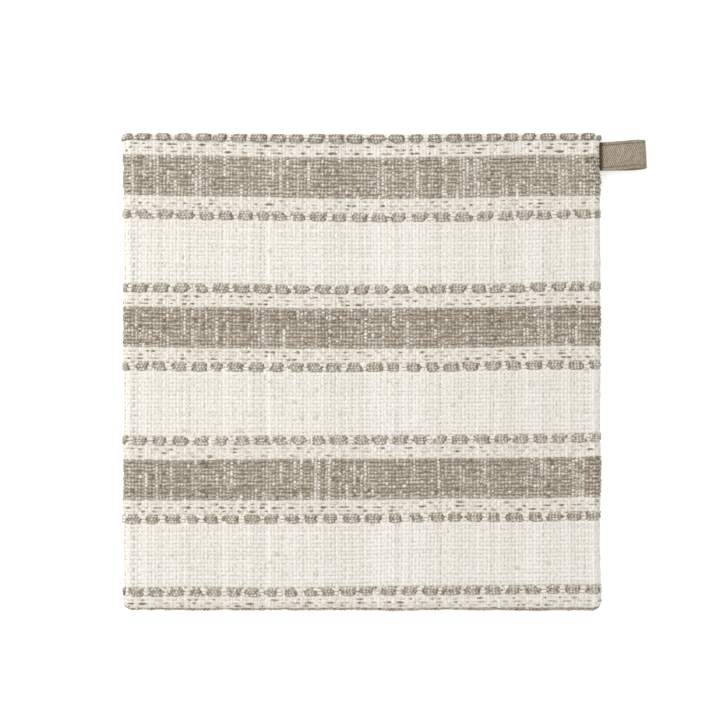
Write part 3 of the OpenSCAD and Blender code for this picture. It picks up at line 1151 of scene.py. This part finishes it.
def weave(side):
    """All the yarns of one face. The dash yarns come first, as they stand for solid ones."""
    rng = np.random.default_rng(SEEDS[side])
    warps = [warp_chain(i, x, rng) for i, x in enumerate(WARPS)]
    light = ("cream", "pale")
    cream = [pick_chain(j, y, zone, rng) for j, (y, zone) in enumerate(PICKS) if zone in light]
    taupe = [taupe_chain(y, rng) for y, zone in PICKS if zone == "taupe"]
    floats, ties = [], []
    for row in DASH_ROWS:
        spans = dashes(rng)
        gaps = gaps_between(spans)
        up = TOP_DASH_UP if abs(row) > FLAT else DASH_UP
        for offset in DASH_PLACES:
            floats.append(floating_chain(row, offset, spans, up, DASH_DOWN, 0.3, 0.5, rng))
        for offset in TIE_PLACES:
            ties.append(floating_chain(row, offset, gaps, TIE_UP, TIE_DOWN, 0.1, 0.25, rng))
    thin = [thin_chain(y, rng) for y in THIN_ROWS]
    fine = FINE_CUTS[side]
    pieces = spin(side, "dash_yarns", floats, DASH_YARN, cuts=fine)
    pieces += spin(side, "tie_yarns", ties, CREAM_PICK, cuts=fine - 1)
    pieces += spin(side, "taupe_picks", taupe, TAUPE_PICK, cuts=fine - 1)
    pieces += spin(side, "thin_picks", thin, THIN_PICK, cuts=fine - 1)
    pieces += spin(side, "cream_picks", cream, CREAM_PICK, cuts=fine, panels=fine)
    pieces += spin(side, "warps", warps, CREAM_WARP, cuts=fine, panels=fine + 1)
    return pieces


front_yarns = weave(FRONT)
back_yarns = weave(BACK)

# %% [markdown]
# ## The hanging loop
# The loop is one piece of twill tape. Its ends lie on each other inside the seam, its two legs
# part outside the pad, and it turns back in a small round bow. The tape is a flat grid that Python
# bends along that path, and a node tree raises the weave: ridges that slant one way and then the
# other across the tape, between two plain edges.

# %% The path of the tape, seen from the side
LEG_TURN = 2.6 * MM + TAPE_T / 2
BOW_X = LOOP_END - TAPE_T / 2 - LEG_TURN
PART_X = FLEX_X + 1 * MM
OPEN_X = BOW_X - 5.8 * MM


def tape_path(step):
    """Points (x, z) along the middle of the tape, evenly spaced, from one end to the other."""
    xs = np.linspace(TAIL_LOW.x, BOW_X, 200)
    opening = smooth_step(PART_X, OPEN_X, xs) * (LEG_TURN - TAPE_T / 2)
    upper = np.column_stack([xs, opening + TAPE_T / 2])
    angles = np.linspace(math.pi / 2, -math.pi / 2, 60)[1:-1]
    bow = np.column_stack([BOW_X + LEG_TURN * np.cos(angles), LEG_TURN * np.sin(angles)])
    lower = upper[::-1] * (1.0, -1.0)
    rough = np.concatenate([upper, bow, lower])
    run = np.concatenate([[0.0], np.cumsum(np.hypot(*np.diff(rough, axis=0).T))])
    even = np.linspace(0.0, run[-1], round(run[-1] / step) + 1)
    return even, np.column_stack([np.interp(even, run, rough[:, k]) for k in (0, 1)])


TAPE_RUN, TAPE_LINE = tape_path(0.19 * MM)
print(f"tape is {TAPE_RUN[-1] / MM:.1f} mm long")

# %% Node group: the relief of the tape's weave
RIDGE_STEP = 0.95 * MM
RIDGE_SLANT = 0.55
RIB_STEP = 0.62 * MM
CHEVRON_W = 2.3 * MM
PLAIN_EDGE = 1.35 * MM


def make_twill_relief():
    """Height of the tape's weave, 0 to 1, from the run along it and the place across it."""
    inputs = {"Run": "Float", "Across": "Float"}
    tree, given = new_group("twill_relief", "GeometryNodeTree", inputs, {"Height": "Float"})
    chevron = calc(tree, "PINGPONG", given["Across"], CHEVRON_W)
    slanted = calc(tree, "MULTIPLY_ADD", chevron, RIDGE_SLANT, given["Run"])
    ridge_at = calc(tree, "DIVIDE", slanted, RIDGE_STEP)
    ridge = calc(tree, "SINE", calc(tree, "MULTIPLY", calc(tree, "FRACT", ridge_at), math.pi))
    knot_at = calc(tree, "DIVIDE", given["Across"], RIB_STEP)
    knot = calc(tree, "ABSOLUTE", calc(tree, "SINE", calc(tree, "MULTIPLY", knot_at, math.pi)))
    twill = calc(tree, "MULTIPLY", ridge, calc(tree, "MULTIPLY_ADD", knot, 0.45, 0.55))
    rib_at = calc(tree, "DIVIDE", given["Run"], RIB_STEP)
    rib = calc(tree, "ABSOLUTE", calc(tree, "SINE", calc(tree, "MULTIPLY", rib_at, math.pi)))
    from_edge = calc(tree, "SUBTRACT", TAPE_W / 2, calc(tree, "ABSOLUTE", given["Across"]))
    inside = calc(tree, "GREATER_THAN", from_edge, PLAIN_EDGE)
    plain = calc(tree, "MULTIPLY", rib, 0.8)
    height = place(tree, "ShaderNodeMix", {"Factor": inside, 2: plain, 3: twill})
    groove = calc(tree, "ABSOLUTE", calc(tree, "SUBTRACT", from_edge, PLAIN_EDGE))
    groove = calc(tree, "MINIMUM", calc(tree, "DIVIDE", groove, 0.3 * MM), 1.0)
    place(tree, "NodeGroupOutput", {"Height": calc(tree, "MULTIPLY", height.outputs[0], groove)})
    return tree


TWILL_RELIEF = make_twill_relief()
print("group twill_relief with", len(TWILL_RELIEF.nodes), "nodes")

# %% Node tree: push the tape's faces in between its ridges
TAPE_RELIEF = 0.16 * MM


def make_raise_tape():
    """Pushes the tape's faces in between its ridges."""
    inputs = {"Geometry": "Geometry", "Relief": "Float", "Material": "Material"}
    tree, given = new_group("raise_tape", "GeometryNodeTree", inputs, {"Geometry": "Geometry"})
    run, across, _ = parts(tree, named(tree, "tape_run", "FLOAT_VECTOR"))
    feeds = {"Run": run, "Across": across}
    height = place(tree, "GeometryNodeGroup", feeds, node_tree=TWILL_RELIEF).outputs[0]
    geometry = store(tree, given["Geometry"], "ridge", height)
    down = calc(tree, "MULTIPLY", calc(tree, "SUBTRACT", height, 1.0), given["Relief"])
    inwards = scaled(tree, named(tree, "face_way", "FLOAT_VECTOR"), down)
    feeds = {"Geometry": geometry, "Offset": inwards}
    geometry = place(tree, "GeometryNodeSetPosition", feeds).outputs[0]
    finish_tree(tree, geometry, given["Material"])
    return tree


RAISE_TAPE = make_raise_tape()
print("tree raise_tape with", len(RAISE_TAPE.nodes), "nodes")

# %% Material of the tape


def tape_material():
    """Taupe cotton, with painted shade between the ridges and where it goes into the seam."""
    material, tree, shader = cloth_material("twill tape")
    ridge = place(tree, "ShaderNodeAttribute", attribute_name="ridge").outputs["Fac"]
    where = tree.nodes.new("ShaderNodeTexCoord").outputs["Object"]
    fibre = calc(tree, "SUBTRACT", noise(tree, where, 4200.0, 2.0)[0], 0.5)
    cloud = calc(tree, "SUBTRACT", noise(tree, where, 900.0, 2.0)[0], 0.5)
    # painted shade: the tone follows the ridges' height and is darker in the grooves between them
    tone = calc(tree, "MULTIPLY_ADD", ridge, 0.75, 0.1)
    tone = calc(tree, "ADD", tone, calc(tree, "MULTIPLY", fibre, 0.4))
    tone = calc(tree, "ADD", tone, calc(tree, "MULTIPLY", cloud, 0.7))
    # painted shade: the tone falls where the tape goes into the seam
    buried = place(tree, "ShaderNodeAttribute", attribute_name="buried").outputs["Fac"]
    tone = calc(tree, "SUBTRACT", tone, calc(tree, "MULTIPLY", buried, 0.9))
    colour = tone_colour(tree, tone, (84, 71, 53), (152, 140, 122), (196, 186, 169))
    tree.links.new(colour, shader.inputs["Base Color"])
    add_bump(tree, shader, fibre, 0.08 * MM)
    return material


TAPE = tape_material()
print("tape material made")

# %% Bend the tape along its path
ACROSS_STEPS = 60


def tape_slab():
    """The tape as a closed slab, bent along its path, with its run and the way its faces look."""
    ahead = np.gradient(TAPE_LINE, axis=0)
    ahead /= np.linalg.norm(ahead, axis=1)[:, None]
    way = np.column_stack([-ahead[:, 1], ahead[:, 0]])
    across = np.linspace(-TAPE_W / 2, TAPE_W / 2, ACROSS_STEPS + 1)
    run, v = np.meshgrid(TAPE_RUN, across, indexing="ij")
    edge = np.clip((TAPE_W / 2 - np.abs(v)) / (0.45 * MM), 0.0, 1.0)
    half_thick = (TAPE_T / 2 - 0.02 * MM) * np.sqrt(np.maximum(1 - (1 - edge) ** 2, 0.03))
    soft = 0.1 * MM * np.sin(TAPE_RUN / (2.1 * MM)) * np.sin(TAPE_RUN / (5.3 * MM) + 1)
    sheets, ways = [], []
    for face in (1.0, -1.0):
        x = TAPE_LINE[:, :1] + face * half_thick * way[:, :1]
        z = TAPE_LINE[:, 1:] + face * half_thick * way[:, 1:]
        angle = LEAN * smooth_step(FLEX_X - 1 * MM, FLEX_X + 1 * MM, x)
        reach = np.maximum(x - FLEX_X, 0.0)
        y = v + soft[:, None]
        bent_x = np.where(x > FLEX_X, FLEX_X + reach * np.cos(angle), x) - y * np.sin(angle)
        bent_y = LOOP_Y + reach * np.sin(angle) + y * np.cos(angle)
        sheets.append(np.stack([bent_x, bent_y, MID_Z + z], axis=-1).reshape(-1, 3))
        side_way = np.stack([way[:, :1] + 0 * v, 0 * v, way[:, 1:] + 0 * v], axis=-1)
        ways.append(face * (side_way * edge[..., None]).reshape(-1, 3))
    mesh = slab_mesh("hanging_tape", *sheets, *run.shape)
    mesh.flip_normals()  # the grid runs along its rows here, which turns the faces inwards
    runs = np.column_stack([run.ravel(), v.ravel(), 0 * v.ravel()])
    # painted shade at the tape's root: 1 inside the seam, fading to nothing 1.8 mm outside it
    buried = 1 - smooth_step(HALF - 0.2 * MM, HALF + 1.8 * MM, np.concatenate(sheets)[:, 0])
    columns = {"buried": buried, "tape_run": np.tile(runs, (2, 1)), "face_way": np.concatenate(ways)}
    store_on_points(mesh, columns)
    return new_object("hanging_tape", mesh)


values = {"Relief": TAPE_RELIEF, "Material": TAPE}
tape = run_tree(tape_slab(), RAISE_TAPE, values, kept=("ridge", "buried"))
print("tape has", len(tape.data.polygons), "faces")

# %% [markdown]
# ## Sewing thread
# Three threads hold the pad together, hidden in its edge. They could be spun like the yarns, but
# they are plain round stitches in the solid model already, so they keep that shape. They only
# need the look of spun thread, with a fine slanting twist.

# %% Material of the threads


def thread_material():
    """Cream thread with a fine slanting twist, with painted shade in its grooves."""
    material, tree, shader = cloth_material("sewing thread", sheen=0.2)
    where = tree.nodes.new("ShaderNodeTexCoord").outputs["Object"]
    x, y, z = parts(tree, where)
    slanted = calc(tree, "ADD", calc(tree, "ADD", x, y), z)
    twist = calc(tree, "SINE", calc(tree, "MULTIPLY", slanted, 2 * math.pi / (0.35 * MM)))
    # painted shade: the tone follows the twist and is darker in its grooves
    tone = calc(tree, "MULTIPLY_ADD", twist, 0.35, 0.5)
    colour = tone_colour(tree, tone, (196, 186, 168), (244, 240, 232))
    tree.links.new(colour, shader.inputs["Base Color"])
    add_bump(tree, shader, twist, 0.05 * MM)
    return material


THREAD = thread_material()
THREAD_NODES = ("edge_seam_thread", "loop_tack_thread", "closing_thread")
for node_name in THREAD_NODES:
    thread = frame["nodes"][node_name]
    thread.data.materials.clear()
    thread.data.materials.append(THREAD)
print("thread material on", len(THREAD_NODES), "nodes")

# %% [markdown]
# ## What moves with what
# Everything woven rides on the pad. Only the tape crosses the joint: its ends stay in the seam and
# its loop swings, so it bends between the two bodies at the line where the real tape would flex.
# The solids that they stand in for are hidden.

# %% Ride and replace
BEND_HALF = 1.5 * MM
yarns = {FRONT: front_yarns, BACK: back_yarns}
for side, face in FACE.items():
    for piece in yarns[side]:
        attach(piece, "pad")
    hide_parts(*[f"{face}_float_yarn_{number}" for number in range(1, 8)])
    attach(skins[side], "pad")
    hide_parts(f"{face}_cover")
    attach(fills[side], "pad")
    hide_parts(f"{face}_wadding")
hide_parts("hanging_loop", "loop_tails")
bend = [(FLEX_X + side * BEND_HALF, LOOP_Y, MID_Z) for side in (-1, 1)]
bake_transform(tape, "pad", "loop", start=bend[0], end=bend[1])
print("declared", len(front_yarns) + len(back_yarns) + 5, "pieces")

# %% [markdown]
# ## Floor, light and camera
# Textiles look best under one broad soft light and a bright surround: the crowns of the yarns
# catch it, and the gaps between them fall into gentle shade. The camera looks straight down
# through a long lens, so that the square stays square.

# %% Camera
LENS = 85.0
VIEW_WIDTH = 300.6 * MM


def camera_above():
    """A long lens straight above the pad."""
    data = bpy.data.cameras.new("camera")
    data.lens = LENS
    data.clip_start = 0.01
    camera = new_object("camera", data)
    camera.location = (-0.75 * MM, 4.8 * MM, THICK + VIEW_WIDTH * LENS / data.sensor_width)
    bpy.context.scene.camera = camera
    print(f"camera {camera.location.z:.2f} m up")


camera_above()

# %% Light


def soft_light():
    """A broad soft lamp, high up on the left, and an even white surround."""
    data = bpy.data.lights.new("soft_lamp", "AREA")
    data.size = 0.7
    data.energy = 8.0
    lamp = new_object("soft_lamp", data)
    lamp.location = (-0.75, 0.45, 0.95)
    lamp.rotation_euler = lamp.location.to_track_quat("Z", "Y").to_euler()
    world = bpy.data.worlds.new("studio")
    world.use_nodes = True
    world.node_tree.nodes["Background"].inputs["Color"].default_value = (1.0, 1.0, 1.0, 1.0)
    world.node_tree.nodes["Background"].inputs["Strength"].default_value = 0.83
    bpy.context.scene.world = world
    bpy.context.scene.view_settings.view_transform = "Standard"


soft_light()
print("lamp and surround set")

# %% Floor


def floor():
    """A plain pale floor."""
    mesh = bpy.data.meshes.new("floor")
    mesh.from_pydata([(-3, -3, 0), (3, -3, 0), (3, 3, 0), (-3, 3, 0)], [], [(0, 1, 2, 3)])
    paint = bpy.data.materials.new("floor")
    paint.use_nodes = True
    shader = paint.node_tree.nodes["Principled BSDF"]
    shader.inputs["Base Color"].default_value = (0.95, 0.95, 0.95, 1.0)
    shader.inputs["Roughness"].default_value = 0.9
    shader.inputs["Emission Color"].default_value = (1.0, 1.0, 1.0, 1.0)
    shader.inputs["Emission Strength"].default_value = 0.4
    mesh.materials.append(paint)
    new_object("floor", mesh)


floor()
print("floor laid")
